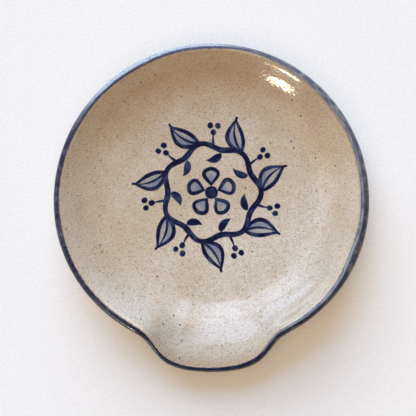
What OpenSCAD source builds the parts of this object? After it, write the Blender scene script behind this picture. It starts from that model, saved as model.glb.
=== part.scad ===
// Stoneware spoon rest: a round shallow dish with a lowered lip at the front for the handle.
// The foot stands on z = 0 with its centre at the origin, and the lip points along -Y.

/* [Dish] */
// Radius of the round dish, over its glaze
dish_r = 65; // [62:0.5:75]
// How far the round of the dish sits behind the middle of the foot
dish_set_back = 0.7; // [0:0.1:2]
// Height of the rim above the table
rim_h = 18.5; // [17.5:0.5:23]
// Thickness of the glazed wall at the rim
rim_t = 4.3; // [3.6:0.1:5]
// Height of the glazed floor above the table
floor_h = 7.5; // [7:0.25:8.5]
// Radius of the flat floor, where the inside starts to rise
floor_r = 40; // [37:0.5:44]
// Slope of the inside where it meets the rim, in degrees
rim_slope_angle = 28; // [20:1:40]

/* [Handle lip] */
// How far the lip stands out past the round of the dish
lip_out = 9.2; // [5:0.1:12]
// How much lower the lip is than the rim
lip_drop = 6; // [4:0.5:7]
// Angle from the middle of the lip to its shoulders, in degrees
lip_half_angle = 22.5; // [18:0.5:26]
// Downward roll of the inside at the lip's edge, in degrees
lip_roll_angle = 5; // [0:1:10]
// How far the round draws in beside the lip
shoulder_dip = 3.3; // [1:0.1:5]
// Angle over which the round draws in, in degrees
shoulder_angle = 52; // [45:1:60]

/* [Foot] */
// Outer radius of the foot ring
foot_r = 36; // [32:0.5:38]
// Width of the foot ring
foot_w = 5; // [4:0.25:7]
// Height of the foot ring
foot_h = 3; // [2:0.25:3.5]
// Bevel on the edges that meet the table
foot_bevel = 0.6; // [0.2:0.1:1]

/* [Glaze] */
// Thickness of every coat of glaze
glaze_t = 0.4; // [0.3:0.05:0.6]
// How far the blue band runs down the outside from the rim
band_down = 4.5; // [3:0.25:5.5]
// Width of bare clay between the foot ring and the outside glaze
bare_w = 4; // [2:0.25:6]

/* [Painted ornament] */
// How far the ornament's middle sits behind the middle of the foot
motif_back = 4.5; // [2:0.25:6]
// Clearance between the ornament and the edge of the flat floor
floor_margin = 2.1; // [1.5:0.1:4]
// Thickness of the painted colour
paint_t = 0.15; // [0.1:0.05:0.25]
// Width of the vine's brush line
vine_w = 2.5; // [1.6:0.1:2.8]
// Width of a stalk that carries berries
stalk_w = 1.25; // [0.8:0.05:1.4]
// Gap between brush strokes that don't run into each other
stroke_gap = 0.3; // [0.15:0.05:0.4]
// Clearance between the flower and the tips of the buds round it
flower_gap = 1.8; // [1.2:0.1:3]
// Radius of the flower's dark centre
centre_r = 2.8; // [1.8:0.1:3.2]
// Radius of a berry
berry_r = 1.35; // [0.9:0.05:1.5]
// Gap between the berries of one bunch
berry_gap = 0.5; // [0.3:0.05:0.8]
// Number of leaves round the vine
leaf_count = 7; // [5:1:7]
// Number of petals on the flower
petal_count = 5; // [4:1:6]

/* [Hidden] */

// Steps round the dish, in degrees: fine over the lip and coarser round the rest
fine_step_angle = 2.5;
coarse_step_angle = 5;
fine_reach_angle = 45;
turn_angles = concat(
    [for (a = [-fine_reach_angle : fine_step_angle : fine_reach_angle - fine_step_angle]) a],
    [for (a = [fine_reach_angle : coarse_step_angle : 360 - fine_reach_angle - coarse_step_angle]) a]
);
turn_count = len(turn_angles);

// Steps along the section: inside wall, rim, blue band outside, outside glaze
wall_steps = 10;
nose_steps = 6;
band_steps = 2;
side_steps = 7;
nose_end = wall_steps + nose_steps;
band_start = wall_steps + 1;
band_end = nose_end + band_steps;
glaze_end = band_end + side_steps;

// How sharply the outline draws in beside the lip, and turns at its shoulders
dip_power_share = 2.4;
lip_power_share = 5;
// The rim rises from the lip between these shares of the lip's half angle
lip_rise_shares = [0.5, 1.42];
// Handles of the inside curve at the wall and at the lip: along the floor, back from the rim
wall_run_shares = [0.63, 0.13];
lip_run_shares = [0.23, 0.5];
// Handles of the outside curve at the wall and at the lip: down from the rim, out from the foot
wall_under_shares = [0.5, 0.6];
lip_under_shares = [0.3, 0.5];
// Undercut of the outside below the rim, in degrees
rim_undercut_angle = 25;
// Rise of the underside beyond the foot, at the wall and at the lip, in degrees
wall_under_angle = 4;
lip_under_angle = 12;
// Halvings made when a distance is looked up on the outside curve
search_steps = 14;

function mix(a, b, t) = a + (b - a) * t;
function smooth(t) = t <= 0 ? 0 : t >= 1 ? 1 : t * t * (3 - 2 * t);
function from_front(a) = a > 180 ? 360 - a : abs(a);
function bezier(c, t) =
    c[0] * pow(1 - t, 3) + 3 * c[1] * t * pow(1 - t, 2) + 3 * c[2] * t * t * (1 - t) + c[3] * pow(t, 3);
// Where a curve is a distance away from its start
function place_at(c, distance, low = 0, high = 1, steps = search_steps) =
    let (middle = (low + high) / 2)
    steps <= 0 ? middle
    : norm(bezier(c, middle) - c[0]) < distance ? place_at(c, distance, middle, high, steps - 1)
    : place_at(c, distance, low, middle, steps - 1);

// Outline of the rim, seen from above, at an angle from the front
function outline_r(a) =
    dish_r - dish_set_back * cos(a)
    - shoulder_dip * exp(-pow(from_front(a) / shoulder_angle, dip_power_share))
    + lip_out * exp(-pow(from_front(a) / lip_half_angle, lip_power_share));
// 1 over the lip, 0 where the rim has its full height
function lip_weight(a) =
    1 - smooth((from_front(a) / lip_half_angle - lip_rise_shares[0])
        / (lip_rise_shares[1] - lip_rise_shares[0]));

// Section of the clay at an angle, as [radius, height] from the floor's edge over the rim to the foot
nose_r = rim_t / 2 - glaze_t;
clay_floor_h = floor_h - glaze_t;
function unit(a) = [cos(a), sin(a)];
function nose_centre(a) =
    [outline_r(a) - rim_t / 2, rim_h - lip_drop * lip_weight(a) - rim_t / 2];
function end_slope(a) = mix(rim_slope_angle, -lip_roll_angle, lip_weight(a));
function inside_curve(a) =
    let (
        slope = end_slope(a),
        start = [floor_r, clay_floor_h],
        end = nose_centre(a) + nose_r * unit(slope + 90),
        run = end[0] - start[0],
        shares = mix(wall_run_shares, lip_run_shares, lip_weight(a))
    )
    [start, start + [run * shares[0], 0], end - run * shares[1] * unit(slope), end];
function outside_curve(a) =
    let (
        start = nose_centre(a) + nose_r * unit(-rim_undercut_angle),
        end = [foot_r, foot_h],
        shares = mix(wall_under_shares, lip_under_shares, lip_weight(a)),
        drop = (start[1] - end[1]) * shares[0],
        run = (start[0] - end[0]) * shares[1],
        rise = mix(wall_under_angle, lip_under_angle, lip_weight(a))
    )
    [start, start - drop * unit(90 - rim_undercut_angle), end + run * unit(rise), end];
function clay_section(a) =
    let (
        inside = inside_curve(a),
        outside = outside_curve(a),
        centre = nose_centre(a),
        lean = end_slope(a) + 90,
        band_t = place_at(outside, band_down),
        glaze_line_t = 1 - place_at([for (i = [3 : -1 : 0]) outside[i]], bare_w)
    )
    concat(
        [for (i = [0 : wall_steps]) bezier(inside, i / wall_steps)],
        [for (i = [1 : nose_steps]) centre + nose_r * unit(mix(lean, -rim_undercut_angle, i / nose_steps))],
        [for (i = [1 : band_steps]) bezier(outside, band_t * i / band_steps)],
        [for (i = [1 : side_steps]) bezier(outside, mix(band_t, glaze_line_t, i / side_steps))],
        [outside[3]]
    );
// Outward normal of a section at one of its points
function section_normal(section, i) =
    i == 0 ? [0, 1]
    : let (
        ahead = section[min(i + 1, len(section) - 1)],
        along = ahead - section[i - 1]
    )
    [-along[1], along[0]] / norm(along);
function coat_section(section) =
    [for (i = [0 : glaze_end]) section[i] + glaze_t * section_normal(section, i)];

clay_sections = [for (a = turn_angles) clay_section(a)];
coat_sections = [for (section = clay_sections) coat_section(section)];

// A section point turned to its angle round the dish
function placed(p, a) = [p[0] * sin(a), -p[0] * cos(a), p[1]];
function ring_points(sections, first, last) =
    [for (j = [0 : turn_count - 1]) for (i = [first : last]) placed(sections[j][i], turn_angles[j])];

// Faces of a surface that runs through a row of rings, each with as many points as the width
function side_faces(width, base, flip) =
    [for (j = [0 : turn_count - 1]) for (i = [0 : width - 2])
        let (
            k = (j + 1) % turn_count,
            a = base + j * width + i,
            b = base + k * width + i,
            c = b + 1,
            d = a + 1
        )
        each flip ? [[a, c, b], [a, d, c]] : [[a, b, c], [a, c, d]]];
// Faces that close one ring with a middle point
function fan_faces(width, base, i, middle, flip) =
    [for (j = [0 : turn_count - 1])
        let (
            a = base + j * width + i,
            b = base + ((j + 1) % turn_count) * width + i
        )
        flip ? [middle, a, b] : [middle, b, a]];
// Faces that join a ring of one surface to the same ring of another
function edge_faces(width, base_a, base_b, i) =
    [for (j = [0 : turn_count - 1])
        let (
            k = (j + 1) % turn_count,
            a = base_a + j * width + i,
            b = base_a + k * width + i,
            c = base_b + k * width + i,
            d = base_b + j * width + i
        )
        each [[a, b, c], [a, c, d]]];

// A coat of glaze on the clay between two places along the section
module coat(first, last) {
    width = last - first + 1;
    count = turn_count * width;
    points = concat(ring_points(clay_sections, first, last), ring_points(coat_sections, first, last));
    faces = concat(
        side_faces(width, 0, true),
        side_faces(width, count, false),
        edge_faces(width, 0, count, 0),
        edge_faces(width, count, 0, width - 1)
    );
    polyhedron(points = points, faces = faces, convexity = 6);
}

module clay_body() {
    color("#c8a27a") {
        width = len(clay_sections[0]);
        count = turn_count * width;
        points = concat(ring_points(clay_sections, 0, width - 1), [[0, 0, clay_floor_h], [0, 0, foot_h]]);
        faces = concat(
            side_faces(width, 0, false),
            fan_faces(width, 0, 0, count, false),
            fan_faces(width, 0, width - 1, count + 1, true)
        );
        polyhedron(points = points, faces = faces, convexity = 6);
    }
}

module foot_ring() {
    inner_r = foot_r - foot_w;
    color("#b98f66")
        rotate_extrude($fn = 120)
            polygon([
                [inner_r, foot_bevel],
                [inner_r + foot_bevel, 0],
                [foot_r - foot_bevel, 0],
                [foot_r, foot_bevel],
                [foot_r, foot_h],
                [inner_r, foot_h]
            ]);
}

// The glaze inside also covers the flat floor, so its two surfaces close at middle points
module inner_glaze() {
    color("#cbbfae") {
        width = band_start + 1;
        count = turn_count * width;
        points = concat(
            ring_points(clay_sections, 0, band_start),
            ring_points(coat_sections, 0, band_start),
            [[0, 0, clay_floor_h], [0, 0, floor_h]]
        );
        faces = concat(
            side_faces(width, 0, true),
            side_faces(width, count, false),
            fan_faces(width, 0, 0, 2 * count, true),
            fan_faces(width, count, 0, 2 * count + 1, false),
            edge_faces(width, count, 0, width - 1)
        );
        polyhedron(points = points, faces = faces, convexity = 6);
    }
}

module outer_glaze() {
    color("#c2b29c") coat(band_end, glaze_end);
}

module rim_band() {
    color("#1d2136") coat(band_start, band_end);
}

// Everything painted lies on the glazed floor, round the ornament's own middle
module on_floor() {
    translate([0, motif_back, floor_h]) linear_extrude(paint_t) children();
}

// A stroke with pointed ends along +X: its half width, its bowed middle line and its outline
stroke_steps = 14;
function swell(u, fullness) = sin(180 * pow(u, fullness));
function bowed(u, bow) = 4 * bow * u * (1 - u);
function stroke_outline(length, half_w, bow, fullness) = concat(
    [for (i = [0 : stroke_steps])
        let (u = i / stroke_steps)
        [length * u, bowed(u, bow) + half_w * swell(u, fullness)]],
    [for (i = [stroke_steps - 1 : -1 : 1])
        let (u = i / stroke_steps)
        [length * u, bowed(u, bow) - half_w * swell(u, fullness)]]
);

// The ornament fills the flat floor, and its vine and outlines follow its radius
motif_r = floor_r - motif_back - floor_margin;
outline_width_share = 0.047;
rib_width_share = 0.034;
line_w = motif_r * outline_width_share;
rib_w = motif_r * rib_width_share;
vine_place_share = 0.584;
vine_wave_share = 0.039;
vine_r = motif_r * vine_place_share;
vine_wave = motif_r * vine_wave_share;
vine_point_count = 12 * leaf_count;

// Leaves spring from under the vine's crests, and their tips reach the ornament's radius
leaf_lean_angle = 47;
leaf_width_share = 0.53;
leaf_bow_share = 0.142;
leaf_fullness_share = 0.88;
leaf_base_r = vine_r + vine_wave;
leaf_len = sqrt(pow(motif_r, 2) - pow(leaf_base_r * sin(leaf_lean_angle), 2))
    - leaf_base_r * cos(leaf_lean_angle);
leaf_w = leaf_len * leaf_width_share;
leaf_bow = leaf_len * leaf_bow_share;
leaf_wash_shares = [0.24, 0.8];
wash_steps = 8;

// Buds hang on the inside of the vine's troughs
bud_lean_angle = 55;
bud_length_share = 0.36;
bud_width_share = 0.47;
bud_bow_share = 0.154;
bud_fullness_share = 0.7;
bud_base_r = vine_r - vine_wave - vine_w / 2 - stroke_gap;
bud_len = vine_r * bud_length_share;

// Bunches of berries stand on stalks between a leaf's tip and the next leaf's base
bunch_place_share = 0.7;
bunch_inset_share = 0.12;
bunch_shares = [[0, 0], [sin(60), 0.5], [sin(60), -0.5]];
stalk_fullness_share = 0.5;
berry_spacing = 2 * berry_r + berry_gap;
bunch_r = motif_r * (1 - bunch_inset_share) - berry_r - berry_spacing * sin(60);
stalk_base_r = vine_r + vine_wave * cos(360 * bunch_place_share) + vine_w / 2 + stroke_gap;
stalk_len = bunch_r - berry_r - stroke_gap - stalk_base_r;

// Everything inside a line that follows the vine at a distance from its middle
module vine_area(distance) {
    polygon([for (i = [0 : vine_point_count - 1])
        let (a = 360 * i / vine_point_count)
        (vine_r + vine_wave * cos(leaf_count * a) + distance) * unit(a)]);
}

module round_leaves(offset_share) {
    for (i = [0 : leaf_count - 1]) rotate((i + offset_share) * 360 / leaf_count) children();
}

module leaf_place() {
    round_leaves(0) translate([leaf_base_r, 0]) rotate(leaf_lean_angle) children();
}

// Half of a leaf's inside, between its rib and its outline, on one side
module half_wash(side) {
    last = wash_steps;
    shares = [for (i = [0 : last]) mix(leaf_wash_shares[0], leaf_wash_shares[1], i / last)];
    function outer_edge(u) = max(leaf_w / 2 * swell(u, leaf_fullness_share) - line_w, rib_w);
    polygon(concat(
        [for (u = shares) [leaf_len * u, bowed(u, leaf_bow) + side * outer_edge(u)]],
        [for (i = [last : -1 : 0])
            let (u = shares[i])
            [leaf_len * u, bowed(u, leaf_bow) + side * rib_w / 2]]
    ));
}

module leaf_washes() {
    leaf_place() {
        half_wash(1);
        half_wash(-1);
    }
}

// A petal is narrow at the flower's centre and broad towards its rounded end
petal_steps = 16;
petal_fullness_share = 1.7;
petal_roundness_share = 0.6;
petal_point_share = 1.8;
petal_width_share = 0.98;
petal_start_r = centre_r + stroke_gap;
petal_len = bud_base_r - bud_len * cos(bud_lean_angle) - flower_gap - petal_start_r;
petal_w = petal_len * petal_width_share;
function petal_outline(length, half_w) =
    let (half = [for (i = [0 : petal_steps])
        let (u = (1 - cos(180 * i / petal_steps)) / 2)
        [length * u, half_w * pow(swell(u, petal_fullness_share), petal_roundness_share)]])
    concat(
        half,
        [for (i = [petal_steps - 1 : -1 : 1]) [half[i][0], -half[i][1]]]
    );

module petal_place() {
    for (i = [0 : petal_count - 1])
        rotate(90 + i * 360 / petal_count) translate([petal_start_r, 0]) children();
}

module petal_washes() {
    petal_place()
        translate([line_w * petal_point_share, 0])
            polygon(petal_outline(petal_len - line_w * (1 + petal_point_share), petal_w / 2 - line_w));
}

module painted_vine() {
    color("#16204f")
        on_floor()
            difference() {
                vine_area(vine_w / 2);
                vine_area(-vine_w / 2);
            }
}

module painted_leaves() {
    color("#1a2458")
        on_floor()
            difference() {
                leaf_place() polygon(stroke_outline(leaf_len, leaf_w / 2, leaf_bow, leaf_fullness_share));
                leaf_washes();
                vine_area(vine_w / 2 + stroke_gap);
            }
}

module painted_buds() {
    bud_w = bud_len * bud_width_share;
    bud_bow = bud_len * bud_bow_share;
    bud_outline = stroke_outline(bud_len, bud_w / 2, bud_bow, bud_fullness_share);
    color("#202b60")
        on_floor()
            round_leaves(0.5)
                translate([bud_base_r, 0])
                    rotate(180 - bud_lean_angle)
                        polygon(bud_outline);
}

module painted_blossom() {
    color("#121a45")
        on_floor() {
            circle(centre_r, $fn = 40);
            difference() {
                petal_place() polygon(petal_outline(petal_len, petal_w / 2));
                petal_washes();
            }
        }
}

module painted_berries() {
    color("#1a2458")
        on_floor()
            round_leaves(bunch_place_share) {
                translate([stalk_base_r, 0])
                    polygon(stroke_outline(stalk_len, stalk_w / 2, 0, stalk_fullness_share));
                for (place = bunch_shares)
                    translate([bunch_r, 0] + berry_spacing * place) circle(berry_r, $fn = 24);
            }
}

module painted_washes() {
    color("#7d8aa8")
        on_floor() {
            difference() {
                leaf_washes();
                vine_area(vine_w / 2 + stroke_gap);
            }
            petal_washes();
        }
}

clay_body();
foot_ring();
inner_glaze();
outer_glaze();
rim_band();
painted_vine();
painted_leaves();
painted_buds();
painted_blossom();
painted_berries();
painted_washes();
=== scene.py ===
import math
import random

import bmesh
import bpy
import numpy as np
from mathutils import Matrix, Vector, noise


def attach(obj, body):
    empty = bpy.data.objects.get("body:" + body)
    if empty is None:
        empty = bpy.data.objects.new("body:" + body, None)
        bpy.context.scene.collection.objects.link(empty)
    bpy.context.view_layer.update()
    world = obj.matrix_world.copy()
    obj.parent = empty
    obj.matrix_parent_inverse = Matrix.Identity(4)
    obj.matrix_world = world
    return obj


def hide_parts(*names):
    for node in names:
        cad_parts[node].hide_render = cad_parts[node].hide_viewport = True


# Stoneware spoon rest. Forms are given in millimetres and degrees, meshes are in metres.
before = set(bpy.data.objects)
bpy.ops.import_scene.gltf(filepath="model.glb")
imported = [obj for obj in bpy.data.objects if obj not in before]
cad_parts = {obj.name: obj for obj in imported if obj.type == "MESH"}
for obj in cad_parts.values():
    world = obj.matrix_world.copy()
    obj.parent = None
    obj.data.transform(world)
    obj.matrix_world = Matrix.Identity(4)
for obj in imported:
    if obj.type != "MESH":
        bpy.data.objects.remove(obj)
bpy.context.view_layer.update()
mm = 0.001
print("frame loaded:", len(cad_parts), "nodes")


def mix(a, b, t):
    return a + (b - a) * t


def smoothStep(t):
    t = min(max(t, 0.0), 1.0)
    return t * t * (3.0 - 2.0 * t)


def heading(angle):
    return Vector((math.cos(math.radians(angle)), math.sin(math.radians(angle))))


# Short ways to add shader nodes: an input that is given a socket is linked, any other is set

def addNode(tree, kind, inputs=None, **settings):
    node = tree.nodes.new(kind)
    for key, value in settings.items():
        setattr(node, key, value)
    for key, value in (inputs or {}).items():
        if isinstance(value, bpy.types.NodeSocket):
            tree.links.new(value, node.inputs[key])
        else:
            node.inputs[key].default_value = value
    return node


def calc(tree, operation, *values, clamp=False):
    inputs = dict(enumerate(values))
    return addNode(tree, "ShaderNodeMath", inputs, operation=operation, use_clamp=clamp).outputs[0]


def product(tree, first, *others):
    for other in others:
        first = calc(tree, "MULTIPLY", first, other)
    return first


def vectorCalc(tree, operation, first, second):
    # to scale, the second is the amount, and a dot product gives a plain value
    inputs = {0: first, "Scale" if operation == "SCALE" else 1: second}
    outputs = addNode(tree, "ShaderNodeVectorMath", inputs, operation=operation).outputs
    return outputs["Value" if operation == "DOT_PRODUCT" else "Vector"]


def blend(tree, factor, first, second, mode="MIX"):
    inputs = {0: factor, 6: first, 7: second}
    return addNode(tree, "ShaderNodeMix", inputs, data_type="RGBA", blend_type=mode).outputs[2]


def fade(tree, value, low, high, start=0.0, end=1.0):
    levels = {"Value": value, "From Min": low, "From Max": high, "To Min": start, "To Max": end}
    return addNode(tree, "ShaderNodeMapRange", levels, interpolation_type="SMOOTHSTEP").outputs[0]


def noiseAt(tree, place, scale, detail=2.0, rough=0.5):
    inputs = {"Vector": place, "Scale": scale, "Detail": detail, "Roughness": rough}
    return addNode(tree, "ShaderNodeTexNoise", inputs).outputs[0]


def vary(tree, base, texture, amount, clamp=False):
    # a value moved up and down by a texture that lies round 0.5
    return calc(tree, "MULTIPLY_ADD", calc(tree, "SUBTRACT", texture, 0.5), amount, base, clamp=clamp)


def shaded(tree, colour, shades):
    # a colour times one shade each for its red, green and blue
    tint = addNode(tree, "ShaderNodeCombineColor", dict(enumerate(shades))).outputs[0]
    return blend(tree, 1.0, colour, tint, "MULTIPLY")


def newGroup(name, inputs, outputs):
    group = bpy.data.node_groups.new(name, "ShaderNodeTree")
    kinds = {"colour": "NodeSocketColor", "value": "NodeSocketFloat", "vector": "NodeSocketVector"}
    for label, kind, value in inputs:
        socket = group.interface.new_socket(name=label, in_out="INPUT", socket_type=kinds[kind])
        socket.default_value = value
    for label, kind in outputs:
        group.interface.new_socket(name=label, in_out="OUTPUT", socket_type=kinds[kind])
    return group, group.nodes.new("NodeGroupInput").outputs, group.nodes.new("NodeGroupOutput").inputs


def fillGroup(tree, group, inputs):
    return addNode(tree, "ShaderNodeGroup", inputs, node_tree=group).outputs


def placeInMillimetres(tree):
    return vectorCalc(tree, "SCALE", addNode(tree, "ShaderNodeTexCoord").outputs["Object"], 1.0 / mm)


def valueOf(tree, name):
    return addNode(tree, "ShaderNodeAttribute", attribute_name=name, attribute_type="GEOMETRY").outputs["Fac"]


# Specks scattered through glaze and clay: round marks of random size, some cells left empty

def makeSpeckGroup():
    group, given, made = newGroup("scatteredSpecks", [
        ("Place", "vector", (0, 0, 0)),
        ("Scale", "value", 1.0),
        ("Size", "value", 0.3),
        ("Share", "value", 0.5),
        ("Softness", "value", 0.5),
    ], [("Mask", "value")])
    cells = addNode(group, "ShaderNodeTexVoronoi", {
        "Vector": given["Place"], "Scale": given["Scale"], "Randomness": 1.0
    }, feature="F1")
    chance = addNode(group, "ShaderNodeSeparateColor", {"Color": cells.outputs["Color"]}).outputs
    kept = calc(group, "LESS_THAN", chance[0], given["Share"])
    size = product(group, given["Size"], calc(group, "MULTIPLY_ADD", chance[1], 0.7, 0.3))   # 0.3 to 1 of it
    inner = product(group, size, calc(group, "SUBTRACT", 1.0, given["Softness"]))
    spot = fade(group, cells.outputs["Distance"], size, inner)
    group.links.new(product(group, kept, spot), made["Mask"])
    return group


specks = makeSpeckGroup()


def scatter(tree, place, scale, size, share, softness):
    inputs = {"Place": place, "Scale": scale, "Size": size, "Share": share, "Softness": softness}
    return fillGroup(tree, specks, inputs)["Mask"]


# Oatmeal glaze: buff with grey and pink drifts, fine grain, brown iron specks and a few blue ones

glazeLook = {
    "body": (0.513, 0.416, 0.294, 1.0),
    "pale": (0.685, 0.622, 0.545, 1.0),
    "warm": (0.508, 0.366, 0.236, 1.0),
    "roughness": 0.09,
    # textures: how many to a millimetre, detail, and how rough the texture is
    "drift": (0.035, 2.0), "patches": (0.16, 4.0, 0.65), "freckles": (0.75, 3.0, 0.65),
    "grain": (1.7, 3.0, 0.75), "peel": (1.0, 1.5, 0.45), "dips": (0.16, 1.0),
    # between which levels of a texture a colour comes in, and how strongly
    "paleDrift": (0.10, 0.90),
    "warmPatches": (0.50, 0.72, 0.0, 0.32),
    "palePatches": (0.47, 0.28, 0.0, 0.25),
    "warmFreckles": (0.50, 0.72, 0.0, 0.60),
    "paintedShadeSlope": (0.0002, -0.0050, 0.0),           # painted light and shade: the glaze is painted paler to the front and darker to the back
    "grainShades": (1.00, 1.25, 1.70),         # strongest in the blue, so the grain is golden
    # specks: colour, strength, places to a millimetre, size, share of the places that hold one, softness
    "specks": {
        "soft": ((0.330, 0.180, 0.080, 1.0), 0.60, 0.50, 0.26, 0.50, 0.8),
        "iron": ((0.190, 0.098, 0.040, 1.0), 0.70, 0.95, 0.38, 0.62, 0.6),
        "dark": ((0.050, 0.035, 0.028, 1.0), 0.85, 0.30, 0.17, 0.42, 0.4),
        "blue": ((0.090, 0.110, 0.200, 1.0), 0.90, 0.12, 0.05, 0.45, 0.3),
    },
    "freckleRoughness": 0.10, "speckRoughness": 0.12,
    "peelTowards": (0.45, 0.89, 0.0),          # rougher orange peel at that side
    "peelHeight": (25.0, 45.0, 0.010, 0.072),
    "dipHeight": 0.045, "speckHeight": 0.006,
}


def makeGlazeGroup():
    look = glazeLook
    group, given, made = newGroup("oatmealGlaze", [
        ("Place", "vector", (0, 0, 0)),
        ("Thin", "value", 0.0),
        ("Tone", "value", 1.0),
        ("Body", "colour", look["body"]),
        ("Pale", "colour", look["pale"]),
        ("Warm", "colour", look["warm"]),
        ("Roughness", "value", look["roughness"]),
    ], [("Color", "colour"), ("Roughness", "value"), ("Height", "value")])
    place = given["Place"]
    names = ("drift", "patches", "freckles", "grain", "peel", "dips")
    drift, patches, freckles, grain, peel, dips = [noiseAt(group, place, *look[name]) for name in names]
    # painted shade: the pale share is pushed up towards the front and down towards the back
    drift = calc(group, "ADD", drift, vectorCalc(group, "DOT_PRODUCT", place, look["paintedShadeSlope"]))
    colour = blend(group, fade(group, drift, *look["paleDrift"]), given["Body"], given["Pale"])
    colour = blend(group, fade(group, patches, *look["warmPatches"]), colour, given["Warm"])
    colour = blend(group, fade(group, patches, *look["palePatches"]), colour, given["Pale"])
    colour = blend(group, fade(group, freckles, *look["warmFreckles"]), colour, given["Warm"])
    # Thin browns the glaze where it runs thin, and also carries painted shade on the walls and lip
    colour = blend(group, given["Thin"], colour, given["Warm"])
    shades = [vary(group, 1.0, grain, amount) for amount in look["grainShades"]]
    # Tone is painted light and shade: it scales the glaze colour up and down
    colour = shaded(group, colour, [product(group, shade, given["Tone"]) for shade in shades])
    masks = {}
    for name, (tint, strength, *scattering) in look["specks"].items():
        masks[name] = scatter(group, place, *scattering)
        colour = blend(group, product(group, masks[name], strength), colour, tint)
    group.links.new(colour, made["Color"])
    rough = vary(group, given["Roughness"], freckles, look["freckleRoughness"])
    rough = calc(group, "MULTIPLY_ADD", masks["dark"], look["speckRoughness"], rough)
    group.links.new(rough, made["Roughness"])
    back = vectorCalc(group, "DOT_PRODUCT", place, look["peelTowards"])
    height = product(group, peel, fade(group, back, *look["peelHeight"]))
    height = calc(group, "MULTIPLY_ADD", dips, look["dipHeight"], height)
    height = calc(group, "MULTIPLY_ADD", masks["dark"], look["speckHeight"], height)
    group.links.new(height, made["Height"])
    return group


oatmealGlaze = makeGlazeGroup()


# Brushed cobalt: full strokes with soft ragged edges and streaks, and pale washes, over any ground

cobaltLook = {
    "deep": (0.0010, 0.0042, 0.0350, 1.0),
    "thin": (0.0330, 0.0500, 0.1250, 1.0),
    "wash": (0.165, 0.195, 0.285, 1.0),
    "ragged": 0.25, "softness": 0.13,
    "dullness": 0.04,                          # how much rougher than the glaze
    "flow": 0.22, "flowAcross": 1.9,           # streaks are long along a stroke and fine across it
    "streaks": (1.0, 3.0, 0.55), "blots": (0.22, 2.0, 0.5), "edgeNoise": (1.5, 3.0, 0.65),
    "washStreaks": 0.9, "washLevels": (0.0, 1.1), "washFrom": (0.0, 0.25),
    "loadLevels": (0.36, 0.52),
    "edgeLoad": (-0.05, 0.45, 0.15, 1.0),      # the colour lies thinner at a stroke's edge
}


def makeCobaltGroup():
    look = cobaltLook
    group, given, made = newGroup("brushedCobalt", [
        ("Ground", "colour", (0.5, 0.5, 0.5, 1.0)),
        ("Place", "vector", (0, 0, 0)),
        ("Edge", "value", 1.0),
        ("Across", "value", 0.0),
        ("Wash", "value", 0.0),
        ("Ragged", "value", look["ragged"]),
        ("Softness", "value", look["softness"]),
        ("Deep", "colour", look["deep"]),
        ("Thin", "colour", look["thin"]),
        ("Pale", "colour", look["wash"]),
    ], [("Color", "colour"), ("Mask", "value"), ("Streak", "value")])
    place = given["Place"]
    sideways = addNode(group, "ShaderNodeCombineXYZ", {
        "Z": product(group, given["Across"], look["flowAcross"])
    }).outputs[0]
    flow = vectorCalc(group, "ADD", vectorCalc(group, "SCALE", place, look["flow"]), sideways)
    streak = noiseAt(group, flow, *look["streaks"])
    edge = vary(group, given["Edge"], noiseAt(group, place, *look["edgeNoise"]), given["Ragged"])
    mask = fade(group, edge, product(group, given["Softness"], -1.0), given["Softness"])
    washTone = fade(group, vary(group, given["Wash"], streak, look["washStreaks"]), *look["washLevels"])
    washTone = product(group, washTone, fade(group, given["Wash"], *look["washFrom"]))
    ground = blend(group, washTone, given["Ground"], given["Pale"])
    load = calc(group, "ADD", streak, noiseAt(group, place, *look["blots"]))
    load = fade(group, product(group, load, 0.5), *look["loadLevels"])
    load = product(group, load, fade(group, edge, *look["edgeLoad"]))
    ink = blend(group, load, given["Thin"], given["Deep"])
    group.links.new(blend(group, mask, ground, ink), made["Color"])
    group.links.new(mask, made["Mask"])
    group.links.new(streak, made["Streak"])
    return group


brushedCobalt = makeCobaltGroup()


# Bare stoneware: sandy buff clay, darker towards flashed patches, with iron specks and pits

clayLook = {
    "body": (0.500, 0.345, 0.215, 1.0),
    "flashed": (0.360, 0.205, 0.110, 1.0),
    "iron": (0.075, 0.040, 0.025, 1.0),
    "rubbed": (0.62, 0.47, 0.33, 1.0),         # where the foot has been rubbed
    "roughness": 0.78,
    "drift": (0.05, 3.0, 0.55), "flashing": (0.38, 0.68, 0.0, 0.8),
    "sand": (1.9, 4.0, 0.7), "sandShade": 0.9, "sandRoughness": 0.3, "sandHeight": 0.05,
    "specks": (0.7, 0.30, 0.5, 0.5), "speckStrength": 0.75,
    "pits": (1.3, 0.28, 0.35, 0.8), "pitHeight": -0.05,
    "wornStrength": 0.35, "wornRoughness": -0.18,
}


def makeClayGroup():
    look = clayLook
    group, given, made = newGroup("bareStoneware", [
        ("Place", "vector", (0, 0, 0)),
        ("Worn", "value", 0.0),
        ("Body", "colour", look["body"]),
        ("Flashed", "colour", look["flashed"]),
        ("Roughness", "value", look["roughness"]),
    ], [("Color", "colour"), ("Roughness", "value"), ("Height", "value")])
    place = given["Place"]
    flashing = fade(group, noiseAt(group, place, *look["drift"]), *look["flashing"])
    sand = noiseAt(group, place, *look["sand"])
    colour = blend(group, flashing, given["Body"], given["Flashed"])
    colour = shaded(group, colour, [vary(group, 1.0, sand, look["sandShade"])] * 3)
    iron = scatter(group, place, *look["specks"])
    colour = blend(group, product(group, iron, look["speckStrength"]), colour, look["iron"])
    colour = blend(group, product(group, given["Worn"], look["wornStrength"]), colour, look["rubbed"])
    group.links.new(colour, made["Color"])
    rough = vary(group, given["Roughness"], sand, look["sandRoughness"])
    rough = calc(group, "MULTIPLY_ADD", given["Worn"], look["wornRoughness"], rough)
    group.links.new(rough, made["Roughness"])
    height = product(group, sand, look["sandHeight"])
    height = calc(group, "MULTIPLY_ADD", scatter(group, place, *look["pits"]), look["pitHeight"], height)
    group.links.new(height, made["Height"])
    return group


bareStoneware = makeClayGroup()


def newMaterial(name, colour):
    material = bpy.data.materials.new(name)
    material.diffuse_color = colour
    material.use_nodes = True
    tree = material.node_tree
    return material, tree, tree.nodes["Principled BSDF"]


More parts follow.
